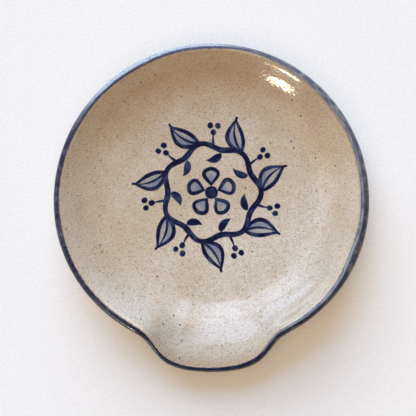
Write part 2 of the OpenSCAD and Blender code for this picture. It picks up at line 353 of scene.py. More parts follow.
def connect(tree, shader, colour, roughness, height):
    tree.links.new(colour, shader.inputs["Base Color"])
    tree.links.new(roughness, shader.inputs["Roughness"])
    bump = addNode(tree, "ShaderNodeBump", {"Height": height, "Distance": mm, "Strength": 1.0})
    tree.links.new(bump.outputs[0], shader.inputs["Normal"])


def makeGlazeMaterial():
    material, tree, shader = newMaterial("oatmealGlaze", glazeLook["body"])
    # the tone attribute carries painted light and shade; the thin attribute carries thin glaze and painted
    # shade
    glaze = fillGroup(tree, oatmealGlaze, {
        "Place": placeInMillimetres(tree), "Thin": valueOf(tree, "thin"), "Tone": valueOf(tree, "tone")
    })
    connect(tree, shader, glaze["Color"], glaze["Roughness"], glaze["Height"])
    return material


def makePaintMaterial(name):
    material, tree, shader = newMaterial(name, cobaltLook["deep"])
    place = placeInMillimetres(tree)
    glaze = fillGroup(tree, oatmealGlaze, {"Place": place})
    paint = fillGroup(tree, brushedCobalt, {
        "Ground": glaze["Color"], "Place": place, "Edge": valueOf(tree, "ink"),
        "Across": valueOf(tree, "across"), "Wash": valueOf(tree, "wash")
    })
    rough = calc(tree, "MULTIPLY_ADD", paint["Mask"], cobaltLook["dullness"], glaze["Roughness"])
    connect(tree, shader, paint["Color"], rough, glaze["Height"])
    return material


bandLook = {
    "deep": (0.0040, 0.0055, 0.0230, 1.0), "innerDeep": (0.0040, 0.0110, 0.0480, 1.0),
    "outer": (0.0800, 0.0630, 0.0600, 1.0), "inner": (0.0380, 0.0560, 0.1600, 1.0),
    # colours where the blue lies thin
    "sparseDeep": (0.1050, 0.1100, 0.1500, 1.0), "sparseThin": (0.3300, 0.3050, 0.3000, 1.0),
    # painted reflection colours: pale and streak on the band's inner part, edge on its outer part
    "pale": (0.0950, 0.1200, 0.1900, 1.0), "streak": (0.2700, 0.2850, 0.3300, 1.0),
    "edge": (0.3700, 0.4200, 0.5000, 1.0),
    # distances from the inner edge, between which the colours change
    "innerTo": (0.3, 2.0), "innerDeepTo": (0.6, 1.9), "innerLine": (0.12, 0.34),
    "edgeFrom": (0.95, 1.45), "edgeUntil": (5.0, 3.4),
    "zoneStart": 0.6, "zoneLevels": (0.2, 0.8), "zoneStreaks": (0.36, 0.60), "borderStreaks": 1.3,
    "grit": (1.4, 3.0, 0.7), "gritLoad": 1.3, "gritEdge": (0.25, 0.55),
    "ragged": 0.9, "softness": 0.22,
    "roughness": 0.27, "streakRoughness": 0.12, "streakHeight": 0.035,
    "lipGloss": (0.88, 1.0, 0.0, 0.06),        # smoother where the blue lies thickest
}


def makeBandMaterial():
    # attributes: how thick the blue lies, how wide the painted reflection on its inner part is, and where the
    # painted reflection on its outer part lies
    look = bandLook
    material, tree, shader = newMaterial("cobaltBand", look["deep"])
    place = placeInMillimetres(tree)
    across, load, zone = [valueOf(tree, name) for name in ("across", "load", "zone")]
    glaze = fillGroup(tree, oatmealGlaze, {"Place": place, "Thin": valueOf(tree, "thin")})
    grit = noiseAt(tree, place, *look["grit"])
    gloss = fade(tree, load, *look["lipGloss"])
    load = vary(tree, load, grit, look["gritLoad"], clamp=True)
    thin = blend(tree, fade(tree, across, *look["innerTo"]), look["inner"], look["outer"])
    deep = blend(tree, fade(tree, across, *look["innerDeepTo"]), look["innerDeep"], look["deep"])
    paint = fillGroup(tree, brushedCobalt, {
        "Ground": glaze["Color"], "Place": place, "Edge": valueOf(tree, "ink"), "Across": across,
        "Ragged": look["ragged"], "Softness": look["softness"],
        "Deep": blend(tree, load, look["sparseDeep"], deep),
        "Thin": blend(tree, load, look["sparseThin"], thin)
    })
    # painted reflection: the pale streaked inner part, then the pale outer part
    border = vary(tree, across, paint["Streak"], look["borderStreaks"])
    pale = fade(tree, border, zone, product(tree, zone, look["zoneStart"]))
    pale = product(tree, pale, fade(tree, across, *look["innerLine"]), fade(tree, zone, *look["zoneLevels"]))
    brushed = blend(tree, fade(tree, paint["Streak"], *look["zoneStreaks"]), look["pale"], look["streak"])
    colour = blend(tree, product(tree, pale, paint["Mask"]), paint["Color"], brushed)
    edge = product(tree, fade(tree, border, *look["edgeFrom"]), fade(tree, across, *look["edgeUntil"]))
    edge = product(tree, edge, valueOf(tree, "edge"), fade(tree, grit, *look["gritEdge"]))
    colour = blend(tree, edge, colour, look["edge"])
    rough = vary(tree, look["roughness"], paint["Streak"], look["streakRoughness"])
    height = calc(tree, "MULTIPLY_ADD", paint["Streak"], look["streakHeight"], glaze["Height"])
    connect(tree, shader, colour, calc(tree, "SUBTRACT", rough, gloss), height)
    return material


def makeClayMaterial(name, worn):
    material, tree, shader = newMaterial(name, clayLook["body"])
    clay = fillGroup(tree, bareStoneware, {
        "Place": placeInMillimetres(tree), "Worn": valueOf(tree, "worn") if worn else 0.0
    })
    connect(tree, shader, clay["Color"], clay["Roughness"], clay["Height"])
    return material


glazeMaterial = makeGlazeMaterial()
lineMaterial = makePaintMaterial("cobaltLine")
washMaterial = makePaintMaterial("cobaltWash")
bandMaterial = makeBandMaterial()
clayMaterial = makeClayMaterial("bareClay", False)
footMaterial = makeClayMaterial("footClay", True)
print("materials made")


def addObject(name, data):
    thing = bpy.data.objects.new(name, data)
    bpy.context.scene.collection.objects.link(thing)
    return thing


def addPiece(name, node, verts, faces, values, material, sharpAngle=42.0):
    # a closed mesh on the one body, in the place of one node of the frame
    mesh = bpy.data.meshes.new(name)
    mesh.from_pydata([Vector(v) * mm for v in verts], [], faces)
    for label, numbers in values.items():
        mesh.attributes.new(label, "FLOAT", "POINT").data.foreach_set("value", numbers)
    shape = bmesh.new()
    shape.from_mesh(mesh)
    if shape.calc_volume(signed=True) < 0.0:
        bmesh.ops.reverse_faces(shape, faces=shape.faces)
    shape.to_mesh(mesh)
    shape.free()
    mesh.shade_smooth()
    mesh.set_sharp_from_angle(angle=math.radians(sharpAngle))
    mesh.materials.append(material)
    piece = addObject(name, mesh)
    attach(piece, "root")
    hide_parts(node)
    print(name, "faces:", len(mesh.polygons))


def sweptFaces(rings, closed):
    # a ring of one point is a pole
    starts = [0]
    for ring in rings:
        starts.append(starts[-1] + len(ring))
    pairs = [(k, k + 1) for k in range(len(rings) - 1)] + ([(len(rings) - 1, 0)] if closed else [])
    faces = []
    for a, b in pairs:
        count = max(len(rings[a]), len(rings[b]))
        for j in range(count):
            k = (j + 1) % count
            if len(rings[a]) == 1:
                faces.append((starts[a], starts[b] + k, starts[b] + j))
            elif len(rings[b]) == 1:
                faces.append((starts[a] + j, starts[a] + k, starts[b]))
            else:
                faces.append((starts[a] + j, starts[a] + k, starts[b] + k, starts[b] + j))
    return faces


def addSwept(name, node, rings, values, closed, material):
    verts = [p for ring in rings for p in ring]
    addPiece(name, node, verts, sweptFaces(rings, closed), values, material)


# The dish's section at each angle from the front: inside curve, round rim, outside curve

dishForm = {
    "roundRadius": 65.0, "setBack": 0.7,
    "rimHeight": 18.5, "rimThickness": 4.3, "rimSlope": 28.0, "rimUndercut": 25.0,
    "floorHeight": 7.5, "floorRadius": 40.0,
    "lipOut": 9.2, "lipDrop": 6.0, "lipHalfAngle": 22.5, "lipPower": 5.0, "lipRoll": 5.0,
    "riseFrom": 0.5, "riseTo": 1.42,
    "shoulderDip": 3.3, "shoulderAngle": 52.0, "shoulderPower": 2.4,
    "wallRun": (0.63, 0.13), "lipRun": (0.23, 0.5),          # handles of the inside curve
    "wallUnder": (0.5, 0.6), "lipUnder": (0.3, 0.5),         # handles of the outside curve
    "wallRise": 4.0, "lipRise": 12.0,                        # slope of the underside by the foot
    "footRadius": 36.0, "footHeight": 3.0,
    "glaze": 0.4,
    "wobble": 0.07, "wobbleRate": 1.7,                       # how far the round strays
    "sag": 0.07, "sagRate": 1.4, "sagSeed": (5.0, 2.0, 9.0),    # how far the rim strays
    "turns": 480,
}


def sectionAt(angle):
    form = dishForm
    turn = abs(angle)
    around = heading(angle).to_3d()
    climb = (turn / form["lipHalfAngle"] - form["riseFrom"]) / (form["riseTo"] - form["riseFrom"])
    weight = 1.0 - smoothStep(climb)                         # 1 on the lip, 0 on the round
    radius = form["roundRadius"] - form["setBack"] * around.x
    radius -= form["shoulderDip"] * math.exp(-(turn / form["shoulderAngle"]) ** form["shoulderPower"])
    radius += form["lipOut"] * math.exp(-(turn / form["lipHalfAngle"]) ** form["lipPower"])
    radius -= form["wobble"] * (1.0 + noise.noise(around * form["wobbleRate"]))
    top = form["rimHeight"] - form["lipDrop"] * weight
    top -= form["sag"] * (1.0 + noise.noise(around * form["sagRate"] + Vector(form["sagSeed"])))
    half = form["rimThickness"] / 2.0
    nose = half - form["glaze"]
    centre = Vector((radius - half, top - half))
    slope = mix(form["rimSlope"], -form["lipRoll"], weight)
    start = Vector((form["floorRadius"], form["floorHeight"] - form["glaze"]))
    end = centre + nose * heading(slope + 90.0)
    run = end.x - start.x
    shares = [mix(a, b, weight) for a, b in zip(form["wallRun"], form["lipRun"])]
    inside = [start, start + Vector((run * shares[0], 0.0)), end - run * shares[1] * heading(slope), end]
    start = centre + nose * heading(-form["rimUndercut"])
    end = Vector((form["footRadius"], form["footHeight"]))
    shares = [mix(a, b, weight) for a, b in zip(form["wallUnder"], form["lipUnder"])]
    drop = (start.y - end.y) * shares[0]
    run = (start.x - end.x) * shares[1]
    rise = mix(form["wallRise"], form["lipRise"], weight)
    outside = [start, start - drop * heading(90.0 - form["rimUndercut"]), end + run * heading(rise), end]
    return {
        "angle": angle, "weight": weight, "inside": inside, "outside": outside,
        "centre": centre, "nose": nose, "lean": slope + 90.0
    }


def curvePoint(curve, t):
    # a point on the curve and the way out of the wall there
    s = 1.0 - t
    point = curve[0] * s ** 3 + 3.0 * curve[1] * t * s * s + 3.0 * curve[2] * t * t * s + curve[3] * t ** 3
    first, second, third = [b - a for a, b in zip(curve, curve[1:])]
    along = first * s * s + 2.0 * second * s * t + third * t * t
    return point, Vector((-along.y, along.x)).normalized()


def sectionPoint(section, s):
    # s runs 0 to 1 up the inside, 1 to 2 round the rim, 2 to 3 down the outside
    if s < 1.0:
        return curvePoint(section["inside"], s)
    if s > 2.0:
        return curvePoint(section["outside"], s - 2.0)
    normal = heading(mix(section["lean"], -dishForm["rimUndercut"], s - 1.0))
    return section["centre"] + section["nose"] * normal, normal


def outsidePlace(section, distance, fromFoot=False):
    # where the outside curve is a distance away from the rim or from the foot, found by halving
    low, high = 0.0, 1.0
    end = section["outside"][3 if fromFoot else 0]
    for step in range(16):
        middle = (low + high) / 2.0
        t = 1.0 - middle if fromFoot else middle
        if (curvePoint(section["outside"], t)[0] - end).length < distance:
            low = middle
        else:
            high = middle
    return 3.0 - low if fromFoot else 2.0 + low


def turned(point, angle):
    a = math.radians(angle)
    return Vector((point.x * math.sin(a), -point.x * math.cos(a), point.y))


def wander(angle, amount, rate, seed):
    # a wavy value round the dish, about the amount to either side
    a = math.radians(angle)
    return amount * (noise.noise(Vector((math.cos(a) * rate, math.sin(a) * rate, seed))) * 1.6)


def hump(angle, middle, reach):
    # 1 at the middle, and almost nothing at twice the reach from it
    away = (angle - middle + 180.0) % 360.0 - 180.0
    return math.exp(-(away / reach) ** 2)


turnAngles = [360.0 * j / dishForm["turns"] for j in range(dishForm["turns"])]
turnAngles = [a - 360.0 if a > 180.0 else a for a in turnAngles]
sections = [sectionAt(a) for a in turnAngles]
clayFloor = sections[0]["inside"][0].y
print("sections made:", len(sections))


def levelRing(radius, height):
    return [turned(Vector((radius, height)), a) for a in turnAngles]


def clayPoint(section, s):
    return turned(sectionPoint(section, s)[0], section["angle"])


def rowBetween(pointAt, start, end, share):
    # one row round the dish, part of the way from one edge to another
    return [pointAt(section, mix(section[start], section[end], share)) for section in sections]


# The glaze is a little uneven, which is what bends its reflections

coatForm = {
    "unevenness": 0.045, "period": 30.0,       # slow swells, and quicker ones on them
    "slowSwell": 0.8, "quickSwell": 0.3, "quickRate": 2.7, "quickSeed": (4.0, 8.0, 1.0),
    "ripple": 0.010, "ripplePitch": 3.6,       # throwing rings inside
    "ridge": 0.035, "ridgePitch": 4.4,         # throwing rings outside
    "mostTaken": 0.3,                          # so the coat is never under a quarter of its thickness
    "floorRings": 18, "ringPower": 0.85,
    "wallRows": 46, "noseRows": 5, "sideRows": 40, "underRows": 10, "lastRing": 0.4,
    "bareWidth": 4.0, "bareWander": (0.45, 2.2, 11.0),    # bare clay above the foot
    # painted light and shade on the wall, darker at the front and paler at the back: angle, reach, amount,
    # from radius, to radius
    "paintedLight": ((17.0, 60.0, -0.27, 43.0, 56.0), (125.0, 38.0, 0.16, 42.0, 49.0),
              (-150.0, 70.0, 0.07, 40.0, 46.0), (-14.0, 11.0, -0.26, 49.0, 54.0),
              (40.0, 13.0, -0.05, 52.5, 56.0)),
    "lipShare": 0.4,                           # how much of the painted light and shade reaches the lip
    # places painted browner with the thin glaze's warm colour, as painted shade
    "paintedShadePlaces": ((76.0, 34.0, 0.34, 44.0, 52.0), (-68.0, 18.0, 0.34, 44.0, 52.0),
                   (40.0, 13.0, 0.35, 52.5, 56.0), (0.0, 40.0, 0.45, 61.0, 67.0)),
    "thinByBand": 0.45, "thinByFoot": 0.8, "thinFrom": 0.9,
    # painted highlight: a pale line along the band's inner edge, at the front right and front left
    "paintedHighlights": ((48.0, 16.0), (-38.0, 13.0)), "paintedHighlightTone": 0.45, "paintedHighlightFrom": 0.90, "paintedHighlightTo": 0.97,
}


def swell(place):
    form = coatForm
    slow = noise.noise(place / form["period"])
    quick = noise.noise(place / form["period"] * form["quickRate"] + Vector(form["quickSeed"]))
    return form["unevenness"] * max(0.0, 1.0 + form["slowSwell"] * slow + form["quickSwell"] * quick)


def throwingRing(amount, pitch, travel, angle):
    return amount * (1.0 - math.cos(2.0 * math.pi * (travel / pitch + angle / 360.0)))


def coatPoint(section, s):
    form, angle = coatForm, section["angle"]
    point, normal = sectionPoint(section, s)
    taken = swell(turned(point, angle))
    if s < 1.0:
        travel = point.x - dishForm["floorRadius"]
        ring = throwingRing(form["ripple"], form["ripplePitch"], travel, angle)
        taken += ring * smoothStep(travel / 8.0) * smoothStep((1.0 - s) * 6.0)
    elif s > 2.0:
        ring = throwingRing(form["ridge"], form["ridgePitch"], point.x, angle)
        taken += ring * smoothStep((s - 2.0) * 5.0)
    return turned(point + normal * (dishForm["glaze"] - min(taken, form["mostTaken"])), angle)


# The blue band: angles are from the front, positive to the right

bandForm = {
    # width seen from above, wider at the sides than front and back
    "width": 2.8, "sideways": 0.42, "rightward": 0.35, "corners": 0.14,
    "lipWidth": -0.15, "lipReach": 28.0,
    # wider and narrower places: angle, reach, amount
    "extraWidth": ((163.0, 11.0, -0.45), (-165.0, 22.0, 0.40), (-100.0, 12.0, -0.30), (72.0, 14.0, 0.45),
                   (92.0, 18.0, 0.15), (128.0, 22.0, -0.25), (-44.0, 18.0, 0.08), (22.0, 13.0, 0.45)),
    # wanderings: amount, how quickly, and a seed
    "wander": (0.25, 3.0, 2.0), "downWander": (0.4, 2.5, 6.0), "loadWander": (0.08, 3.4, 9.0),
    "paleWander": (0.15, 4.0, 5.0),
    "down": 4.5,                                         # how far it reaches down the outside
    "bleed": 0.5,                                        # room for the brush's ragged edge
    "rows": 20, "lowerRows": 10,
    "load": 0.78, "lipLoad": 0.24, "loadReach": 42.0,    # how thick the blue lies, most at the lip
    # the blue lies thinner, and the band is paler and greyer, towards the right back
    "rightBackLoss": 0.72, "rightBackAt": 130.0, "rightBackReach": 42.0,
    # painted reflections: the pale inner part, on the right, and the pale outer part, at the back
    "paintedReflectionWidth": 1.60, "paleFrom": 5.0, "paleTo": 172.0, "paleReach": 30.0,
    "edgeFrom": 160.0, "edgeTo": 244.0, "edgeStart": 22.0, "edgeStop": 25.0,
    "glazeThin": 0.6, "noseRoom": 0.04,
}


def bandWidthAt(angle):
    # distance from the outline to the band's inner edge, at an angle from the front
    form = bandForm
    side = math.radians(angle)
    return (form["width"] - form["sideways"] * math.cos(2.0 * side) - form["corners"] * math.cos(4.0 * side)
            + form["rightward"] * math.sin(side) + form["lipWidth"] * hump(angle, 0.0, form["lipReach"])
            + sum(extra * hump(angle, at, reach) for at, reach, extra in form["extraWidth"])
            + wander(angle, *form["wander"]))


def bandLoadAt(angle):
    form = bandForm
    return (form["load"] + form["lipLoad"] * hump(angle, 0.0, form["loadReach"])
            - form["rightBackLoss"] * hump(angle, form["rightBackAt"], form["rightBackReach"])
            + wander(angle, *form["loadWander"]))


# painted reflection: how wide the pale inner part of the band is, at an angle from the front
def paintedReflectionAt(angle):
    form = bandForm
    start = smoothStep((angle - form["paleFrom"]) / form["paleReach"])
    stop = smoothStep((form["paleTo"] - angle) / form["paleReach"])
    return form["paintedReflectionWidth"] * (start * stop) * (1.0 + wander(angle, *form["paleWander"]))


# painted reflection: where the pale outer part of the band shows, at the back and back left
def paintedEdgeReflectionAt(angle):
    form, turn = bandForm, angle % 360.0
    start = smoothStep((turn - form["edgeFrom"]) / form["edgeStart"])
    return start * smoothStep((form["edgeTo"] - turn) / form["edgeStop"])


def bandTravel(section, s):
    # distance from the band's inner edge, across the rim
    pace = section["arc"] if s > 1.0 else section["wallPace"]
    return (min(s, 2.0) - 1.0) * pace - section["edgeTravel"]


def findEdges(section):
    # where on a section the band and the two coats of glaze begin and end
    form, angle = bandForm, section["angle"]
    half = dishForm["rimThickness"] / 2.0
    width, lean = bandWidthAt(angle), math.radians(section["lean"])
    section["arc"] = half * (lean + math.radians(dishForm["rimUndercut"]))
    section["wallPace"] = 3.0 * (section["inside"][3] - section["inside"][2]).length
    overRim = half * (1.0 - math.cos(lean))
    if width < overRim:
        section["edgeTravel"] = half * (lean - math.acos(1.0 - width / half))
    else:
        # the rest of a wide band lies on the wall below the rim
        section["edgeTravel"] = (overRim - width) / math.sin(lean)
    start = section["edgeTravel"] - form["bleed"]
    section["bandStart"] = 1.0 + start / (section["arc"] if start > 0.0 else section["wallPace"])
    section["wallEnd"] = min(0.999, section["bandStart"] - form["noseRoom"])
    down = form["down"] + wander(angle, *form["downWander"])
    section["bandEnd"] = outsidePlace(section, down + form["bleed"])
    section["bandLine"] = outsidePlace(section, down)
    bare = coatForm["bareWidth"] + wander(angle, *coatForm["bareWander"])
    section["glazeEnd"] = outsidePlace(section, bare, True)


for section in sections:
    findEdges(section)


# Clay body, with trimming rings in the hollow of the foot

bodyForm = {
    "floorSteps": 6, "wallRows": 16, "rimRows": 8, "outerRows": 40,
    "hollow": 30.6, "step": 0.6,                         # rings inside the foot, and how far apart
    "trimming": 0.10, "trimmingPitch": 3.1, "doming": 0.06, "middle": 0.1,
}


def addClayBody():
    form, under = bodyForm, dishForm["footHeight"]
    rows = [[Vector((0.0, 0.0, clayFloor))]]
    for k in range(1, form["floorSteps"]):
        rows.append(levelRing(dishForm["floorRadius"] * k / form["floorSteps"], clayFloor))
    places = []
    for part, count in enumerate((form["wallRows"], form["rimRows"], form["outerRows"])):
        places += [part + k / count for k in range(count)]
    rows += [[clayPoint(section, s) for section in sections] for s in places]
    rows.append([turned(section["outside"][3], section["angle"]) for section in sections])
    radius = form["hollow"]
    while radius > 1.0:
        ring = 0.5 - 0.5 * math.cos(2.0 * math.pi * radius / form["trimmingPitch"])
        lift = form["trimming"] * ring + form["doming"] * (1.0 - radius / form["hollow"])
        rows.append(levelRing(radius, under + lift))
        radius -= form["step"]
    rows.append([Vector((0.0, 0.0, under + form["middle"]))])
    addSwept("stonewareBody", "clay_body", rows, {}, False, clayMaterial)


footForm = {
    "outer": 36.0, "width": 5.0, "height": 3.0, "bevel": 0.6, "bevelRows": 6, "soleRows": 8,
    "innerRows": (2.0, 1.2), "outerRows": (1.0, 1.4, 1.8, 2.2, 2.6),
    "wear": 0.05, "wearRate": 0.35, "wearBelow": 1.5, "rubbedBelow": 0.7,
}


def addFootRing():
    form = footForm
    outer, inner, bevel = form["outer"], form["outer"] - form["width"], form["bevel"]
    outline = [Vector((inner, z)) for z in (form["height"], *form["innerRows"])]
    for k in range(form["bevelRows"] + 1):
        outline.append(Vector((inner + bevel, bevel)) + bevel * heading(180.0 + 90.0 * k / form["bevelRows"]))
    for k in range(1, form["soleRows"]):
        outline.append(Vector((mix(inner + bevel, outer - bevel, k / form["soleRows"]), 0.0)))
    for k in range(form["bevelRows"] + 1):
        outline.append(Vector((outer - bevel, bevel)) + bevel * heading(270.0 + 90.0 * k / form["bevelRows"]))
    outline += [Vector((outer, z)) for z in (*form["outerRows"], form["height"])]
    middle = Vector((inner + form["width"] / 2.0, form["wearBelow"]))
    rows, worn = [], []
    for point in outline:
        ring = []
        for angle in turnAngles:
            bite = max(0.0, noise.noise(turned(point, angle) * form["wearRate"]))
            chip = form["wear"] * bite * smoothStep(form["wearBelow"] - point.y)
            chipped = point + (middle - point).normalized() * chip
            ring.append(turned(chipped if 0.0 < point.y < 2.5 else point, angle))    # the sole stays flat
            worn.append(smoothStep(1.0 - point.y / form["rubbedBelow"]))
        rows.append(ring)
    addSwept("footRing", "foot_ring", rows, {"worn": worn}, True, footMaterial)


def patchesAt(section, s, patches):
    radius, angle = sectionPoint(section, s)[0].x, section["angle"]
    return sum(amount * hump(angle, at, reach) * smoothStep((radius - start) / (end - start))
               for at, reach, amount, start, end in patches)


# painted light and shade on the wall, with the painted highlight line along the band
def paintedWallLight(section, s):
    form = coatForm
    tone = patchesAt(section, s, form["paintedLight"]) * mix(1.0, form["lipShare"], section["weight"])
    paintedHighlight = smoothStep((s - form["paintedHighlightFrom"]) / (form["paintedHighlightTo"] - form["paintedHighlightFrom"]))
    paintedHighlight *= sum(hump(section["angle"], at, reach) for at, reach in form["paintedHighlights"])
    return 1.0 + tone + form["paintedHighlightTone"] * paintedHighlight


def addInnerGlaze():
    form, floorHeight = coatForm, dishForm["floorHeight"]
    rows, thin, tone = [], [], []

    def layRow(ring, thins=None, paintedLight=None):
        rows.append(ring)
        thin.extend(thins or [0.0] * len(ring))
        tone.extend(paintedLight or [1.0] * len(ring))

    layRow([Vector((0.0, 0.0, floorHeight - swell(Vector((0.0, 0.0, floorHeight)))))])
    for k in range(1, form["floorRings"]):
        ring = levelRing(dishForm["floorRadius"] * (k / form["floorRings"]) ** form["ringPower"], floorHeight)
        layRow([p - Vector((0.0, 0.0, swell(p))) for p in ring])
    for k in range(form["wallRows"] + 1):
        places = [(section, section["wallEnd"] * k / form["wallRows"]) for section in sections]
        # on the wall, thin holds painted shade and tone holds painted light and shade
        layRow([coatPoint(section, s) for section, s in places],
               [patchesAt(section, s, form["paintedShadePlaces"]) for section, s in places],
               [paintedWallLight(section, s) for section, s in places])
    ends = [patchesAt(section, section["wallEnd"], form["paintedShadePlaces"]) for section in sections]
    paintedLight = [paintedWallLight(section, section["wallEnd"]) for section in sections]
    for k in range(1, form["noseRows"] + 1):
        share = k / form["noseRows"]
        thins = [mix(end, form["thinByBand"], share) for end in ends]
        layRow(rowBetween(coatPoint, "wallEnd", "bandStart", share), thins, paintedLight)
    for k in range(form["underRows"] + 1):
        share = k / form["underRows"]
        layRow([clayPoint(section, section["bandStart"] * (1.0 - share)) for section in sections])
    layRow(levelRing(dishForm["floorRadius"] * form["lastRing"], clayFloor))
    layRow([Vector((0.0, 0.0, clayFloor))])
    values = {"thin": thin, "tone": tone}
    addSwept("glazeInside", "inner_glaze", rows, values, False, glazeMaterial)


def addOuterGlaze():
    form = coatForm
    rows, thin = [], []
    for k in range(form["sideRows"] + 1):
        share = k / form["sideRows"]
        rows.append(rowBetween(coatPoint, "bandEnd", "glazeEnd", share))
        fading = smoothStep((share - form["thinFrom"]) / (1.0 - form["thinFrom"]))
        thin += [fading * form["thinByFoot"]] * len(sections)
    for k in range(form["underRows"] + 1):
        rows.append(rowBetween(clayPoint, "bandEnd", "glazeEnd", 1.0 - k / form["underRows"]))
        thin += [form["thinByFoot"]] * len(sections)
    values = {"thin": thin, "tone": [1.0] * len(thin)}
    addSwept("glazeOutside", "outer_glaze", rows, values, True, glazeMaterial)


def addRimBand():
    form = bandForm
    rows, ink, across = [], [], []
    places = [(1, k / form["rows"]) for k in range(form["rows"])]
    places += [(2, k / form["lowerRows"]) for k in range(form["lowerRows"] + 1)]
    for part, share in places:
        ring = []
        for section in sections:
            s = mix(section["bandStart"], 2.0, share) if part == 1 else mix(2.0, section["bandEnd"], share)
            ring.append(coatPoint(section, s))
            # how far it is to the lower edge, and how far it was from the inner one
            toLine = (section["bandLine"] - max(s, 2.0)) / (section["bandLine"] - 2.0) * form["down"]
            travelled = bandTravel(section, s) + (0.0 if s < 2.0 else form["down"] - toLine)
            ink.append(min(travelled, toLine) if s > 2.0 else travelled)
            across.append(travelled)
        rows.append(ring)
    for k in range(coatForm["underRows"] + 1):
        rows.append(rowBetween(clayPoint, "bandStart", "bandEnd", 1.0 - k / coatForm["underRows"]))
        ink += [1.0] * len(sections)
        across += [1.0] * len(sections)
    values = {"ink": ink, "across": across, "thin": [form["glazeThin"]] * len(ink)}
    for label, valueAt in (("load", bandLoadAt), ("zone", paintedReflectionAt), ("edge", paintedEdgeReflectionAt)):
        values[label] = [valueAt(a) for a in turnAngles] * len(rows)
    addSwept("rimBand", "rim_band", rows, values, True, bandMaterial)


addClayBody()
addFootRing()
addInnerGlaze()
addOuterGlaze()
addRimBand()


# Painted wreath on the floor: strokes laid on a fine grid, so that they run together like wet colour

wreath = {
    "back": 4.5, "margin": 2.1,
    "grid": 0.2, "border": 1.5, "bleed": 0.28, "room": 1.0,
    "lineShare": 0.047, "ribShare": 0.034,
    "vinePlace": 0.584, "vineWave": 0.039, "vineWidth": 2.5, "vineSteps": 420,
    "leaves": 7, "leafLean": 47.0, "leafWidth": 0.53, "leafBow": 0.142, "leafFullness": 0.88,
    "ribStart": 0.05, "ribRun": 0.78,
    "budLean": 55.0, "budLength": 0.36, "budWidth": 0.47, "budBow": 0.154, "budFullness": 0.7,
    "budTip": 0.22,
    "bunchPlace": 0.7, "bunchInset": 0.12, "berry": 1.35, "berryGap": 0.5, "berryFan": 60.0,
    "berries": ((0.0, 0.0), (0.5, 1.0), (-0.5, 1.0)),    # across and out, in spacings
    "stalkWidth": 1.25, "stalkSteps": 12,
    "petals": 5, "centre": 2.8, "gap": 0.3, "flowerGap": 1.8, "coreRing": 0.55, "coreBrush": 0.43,
    "petalWidth": 0.98, "petalFullness": 1.7, "petalRoundness": 0.6, "petalSteps": 34,
    "outlineSteps": 40, "strokeSteps": 24,
    # how hard the brush is pressed at a stroke's start, middle and end
    "leafPressure": (0.85, 1.12, 0.72), "ribPressure": (1.15, 1.0, 0.5), "petalPressure": (0.8, 1.12, 0.7),
    # how far the hand strays: ranges of a size, or the most to either side
    "leafLengths": (0.965, 0.995), "leafWidths": (0.93, 1.0), "leafBows": (0.9, 1.05),
    "leafEnds": (0.955, 0.985), "leafTurn": 0.6, "leafTilt": 1.2, "leafShake": 0.10, "leafUneven": 0.15,
    "budLengths": (0.93, 1.0), "budWidths": (0.9, 1.0), "budTurn": 0.8, "budTilt": 3.0,
    "bunchTurn": 0.5, "stalkBend": 0.25, "berryStray": 0.12, "berrySizes": (0.9, 1.0),
    "petalLengths": (0.96, 1.0), "petalWidths": (0.94, 1.0), "petalTurn": 1.5,
    "vineStray": (0.12, 2.6, 3.0), "vineUneven": (0.10, 5.0, 7.0), "vineThin": 0.06,
    "washes": (0.85, 1.1), "streakStray": 30.0,
    # the washes: soft edge, and tone at the base, towards the tip and on one side
    "washEdge": 0.25, "leafTone": (0.95, -0.50, 0.12), "petalTone": (1.1, -0.75, 0.0),
    "seed": 11,
    # how far each paint stands above the glaze, and how deep it reaches into it
    "washLift": 0.012, "lineLift": 0.022, "vineLift": 0.030, "sink": 0.05, "sharpAngle": 35.0,
}

wreathRadius = dishForm["floorRadius"] - wreath["back"] - wreath["margin"]
lineWidth = wreathRadius * wreath["lineShare"]
ribWidth = wreathRadius * wreath["ribShare"]
vineRadius = wreathRadius * wreath["vinePlace"]
vineWave = wreathRadius * wreath["vineWave"]
leafBase = vineRadius + vineWave
leafLean = math.radians(wreath["leafLean"])
leafSide = leafBase * math.sin(leafLean)
leafLength = math.sqrt(wreathRadius ** 2 - leafSide ** 2) - leafBase * math.cos(leafLean)
budBase = vineRadius - vineWave - wreath["vineWidth"] / 2.0 - wreath["gap"]
budLength = vineRadius * wreath["budLength"]
petalStart = wreath["centre"] + wreath["gap"]
petalEnd = budBase - budLength * math.cos(math.radians(wreath["budLean"])) - wreath["flowerGap"]
petalLength = petalEnd - petalStart
hand = random.Random(wreath["seed"])

gridCount = int(2.0 * (wreathRadius + wreath["border"]) / wreath["grid"]) + 1
gridLine = (np.arange(gridCount) - (gridCount - 1) / 2.0) * wreath["grid"]
gridX, gridY = np.meshgrid(gridLine, gridLine, indexing="ij")
canvas = {
    "ink": np.full(gridX.shape, -1.0),
    "across": np.zeros(gridX.shape),
    "wash": np.zeros(gridX.shape),
}
layerNames = ("vine", "leaves", "buds", "blossom", "berries", "washes")
layers = {name: np.full(gridX.shape, -1.0) for name in layerNames}


def stray(most):
    return hand.uniform(-most, most)


def swollen(u, fullness):
    return math.sin(math.pi * min(max(u, 0.0), 1.0) ** fullness)


def nearby(p, q, room):
    # the part of the grid round two points
    low = [max(int((min(a, b) - room - gridLine[0]) / wreath["grid"]), 0) for a, b in zip(p, q)]
    high = [int((max(a, b) + room - gridLine[0]) / wreath["grid"]) + 2 for a, b in zip(p, q)]
    return slice(low[0], high[0]), slice(low[1], high[1])


